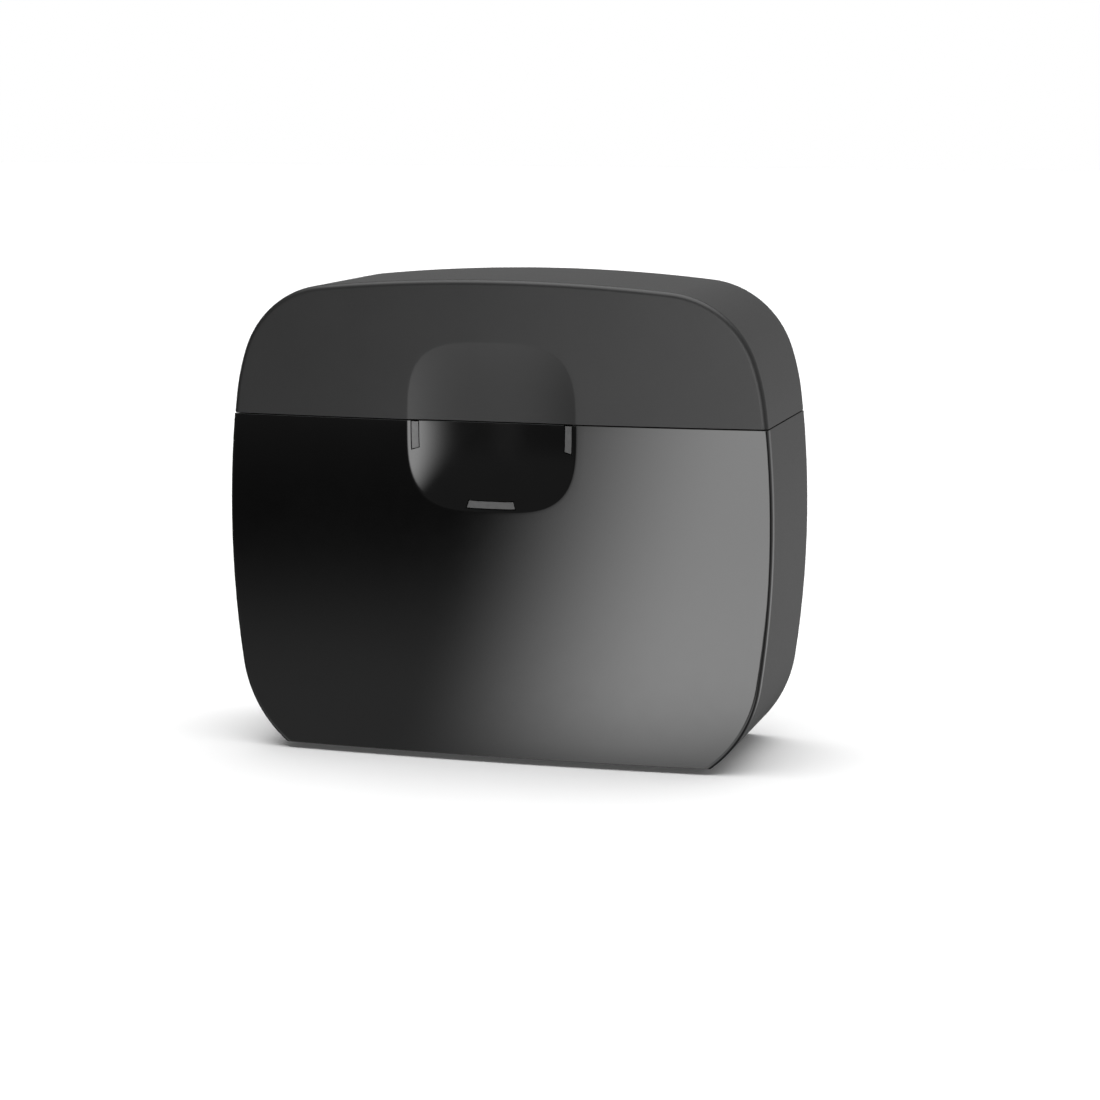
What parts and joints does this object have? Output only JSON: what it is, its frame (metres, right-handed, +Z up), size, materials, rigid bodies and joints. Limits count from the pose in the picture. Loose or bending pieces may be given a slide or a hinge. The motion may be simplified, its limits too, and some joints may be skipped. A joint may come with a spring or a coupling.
{
  "type": "hearing aid charging case",
  "caption": "Upright dark hard case that stores and charges hearing aids: hinged matt lid, gloss front plate with a thumb dish and status windows, wells and bowl inside.",
  "frame": {"origin": "on the ground, under the middle of the case, at the underside of the foot pad", "axes": "+X to the right as seen from the front, +Y to the back, +Z up"},
  "size_m": [0.084, 0.0324, 0.0722],
  "materials": {
    "matt_shell": "fine matt moulding, dark grey",
    "gloss_plate": "high gloss black",
    "light_guide": "smoked light guide, grey when unlit",
    "foot_rubber": "matt rubber with fine pips",
    "steel": "plain steel",
    "chassis_plastic": "plain moulded plastic",
    "tape": "foam tape",
    "battery": "pouch foil",
    "ribbon": "amber film",
    "tray_plastic": "satin moulding, dark grey",
    "copper": "enamelled copper winding",
    "ferrite": "sintered disc",
    "board": "green solder mask",
    "lamp": "small lamp body",
    "chip": "black moulded body",
    "magnet": "nickel plate",
    "soft_pad": "soft matt elastomer"
  },
  "bodies": {
    "base": {"base_shell": "matt_shell", "front_panel": "gloss_plate", "light_guide_left": "light_guide", "light_guide_right": "light_guide", "light_guide_case": "light_guide", "foot_pad": "foot_rubber", "housing_screws": "steel", "chassis": "chassis_plastic", "battery_tape": "tape", "battery_cell": "battery", "battery_lead": "ribbon", "charging_tray": "tray_plastic", "charging_coil_left": "copper", "charging_coil_right": "copper", "coil_ferrite_left": "ferrite", "coil_ferrite_right": "ferrite", "main_board": "board", "status_leds": "lamp", "board_chips": "chip", "usb_board": "board", "usb_socket": "steel", "usb_tongue": "chip", "link_flex": "ribbon", "base_magnets": "magnet", "hinge_pin": "steel"},
    "lid": {"lid_shell": "matt_shell", "lid_liner": "tray_plastic", "lid_pad_left": "soft_pad", "lid_pad_right": "soft_pad", "lid_magnets": "magnet"}
  },
  "joints": [
    {"name": "lid_hinge", "type": "hinge", "parent": "base", "child": "lid", "pos_m": [0, 0.01495, 0.0513], "axis": [-1, 0, 0], "range_deg": [0, 100]}
  ]
}
